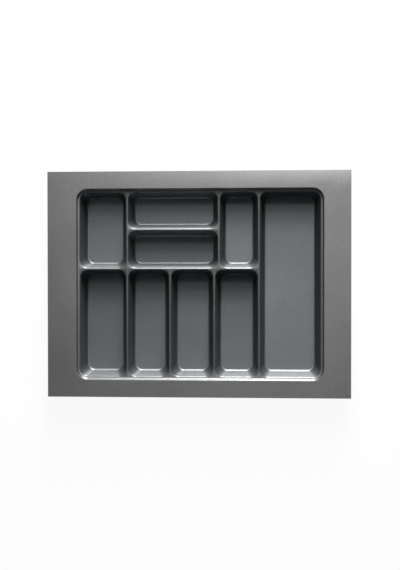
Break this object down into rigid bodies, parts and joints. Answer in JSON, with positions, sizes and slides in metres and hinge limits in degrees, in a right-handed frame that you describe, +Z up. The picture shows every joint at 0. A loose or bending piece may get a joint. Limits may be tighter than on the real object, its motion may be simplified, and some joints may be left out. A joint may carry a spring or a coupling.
{
  "type": "cutlery tray",
  "caption": "Thermoformed drawer insert for cutlery: wide flat flange to trim, a small step down, and drafted round-cornered pans split by narrow hollow webs.",
  "frame": {"origin": "middle of the outline, at the underside of the pans", "axes": "+X to the right of a person at the open drawer, +Y to the back of the drawer, +Z up"},
  "size_m": [0.697, 0.52, 0.05],
  "materials": {
    "moulding": "satin anthracite grey with a faint metallic sheen"
  },
  "bodies": {
    "root": {"trim_flange": "moulding", "recess_step": "moulding", "front_pan_1": "moulding", "front_pan_2": "moulding", "front_pan_3": "moulding", "front_pan_4": "moulding", "back_left_pan": "moulding", "front_cross_pan": "moulding", "back_cross_pan": "moulding", "back_right_pan": "moulding", "long_pan_front": "moulding", "long_pan_back": "moulding"}
  },
  "joints": []
}
